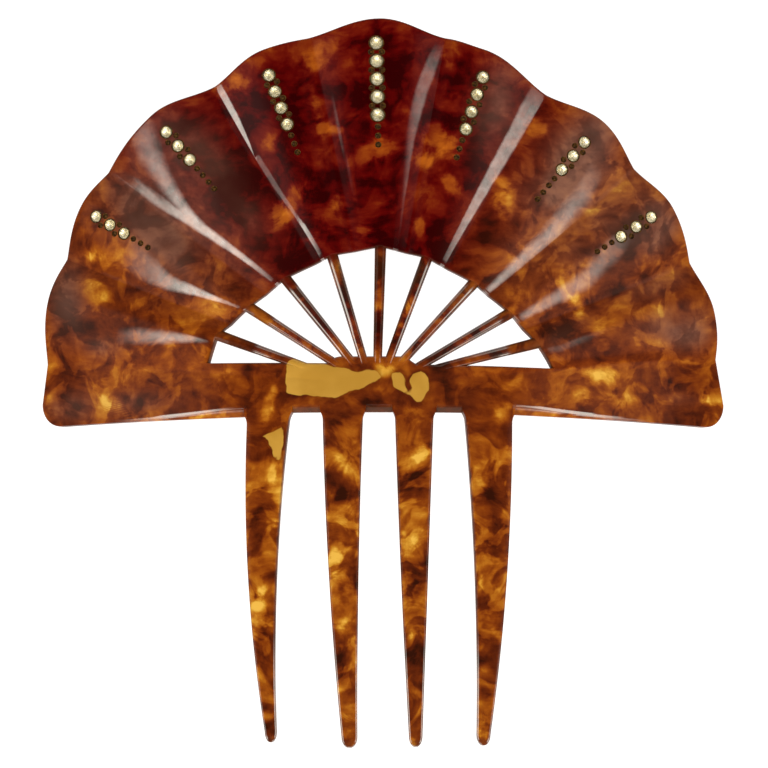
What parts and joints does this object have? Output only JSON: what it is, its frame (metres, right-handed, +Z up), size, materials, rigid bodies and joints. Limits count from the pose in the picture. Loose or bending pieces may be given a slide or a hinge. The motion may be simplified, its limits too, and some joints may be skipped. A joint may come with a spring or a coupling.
{
  "type": "mantilla comb",
  "caption": "Tall fan-shaped mantilla comb: pleated scalloped fan with pierced sticks, rows of inset cut stones, and tapering teeth that hold it upright in the hair.",
  "frame": {"origin": "centre of the footprint of the comb as it lies on its two wings, in the plane of the surface that it lies on", "axes": "+X to the right as seen from the front, +Y from the teeth towards the top of the fan, +Z up out of the front face"},
  "size_m": [0.1522, 0.1586, 0.0423],
  "materials": {
    "tortoiseshell": "polished faux tortoiseshell, mottled from golden amber to near-black brown",
    "rhinestone": "cut and polished, warm white"
  },
  "bodies": {
    "root": {"comb": "tortoiseshell", "stone_1_1": "rhinestone", "stone_1_2": "rhinestone", "stone_1_3": "rhinestone", "stone_2_1": "rhinestone", "stone_2_2": "rhinestone", "stone_2_3": "rhinestone", "stone_3_1": "rhinestone", "stone_3_2": "rhinestone", "stone_3_3": "rhinestone", "stone_3_4": "rhinestone", "stone_4_1": "rhinestone", "stone_4_2": "rhinestone", "stone_4_3": "rhinestone", "stone_4_4": "rhinestone", "stone_4_5": "rhinestone", "stone_5_1": "rhinestone", "stone_5_2": "rhinestone", "stone_5_3": "rhinestone", "stone_5_4": "rhinestone", "stone_6_1": "rhinestone", "stone_6_2": "rhinestone", "stone_6_3": "rhinestone", "stone_7_1": "rhinestone", "stone_7_2": "rhinestone", "stone_7_3": "rhinestone"}
  },
  "joints": []
}
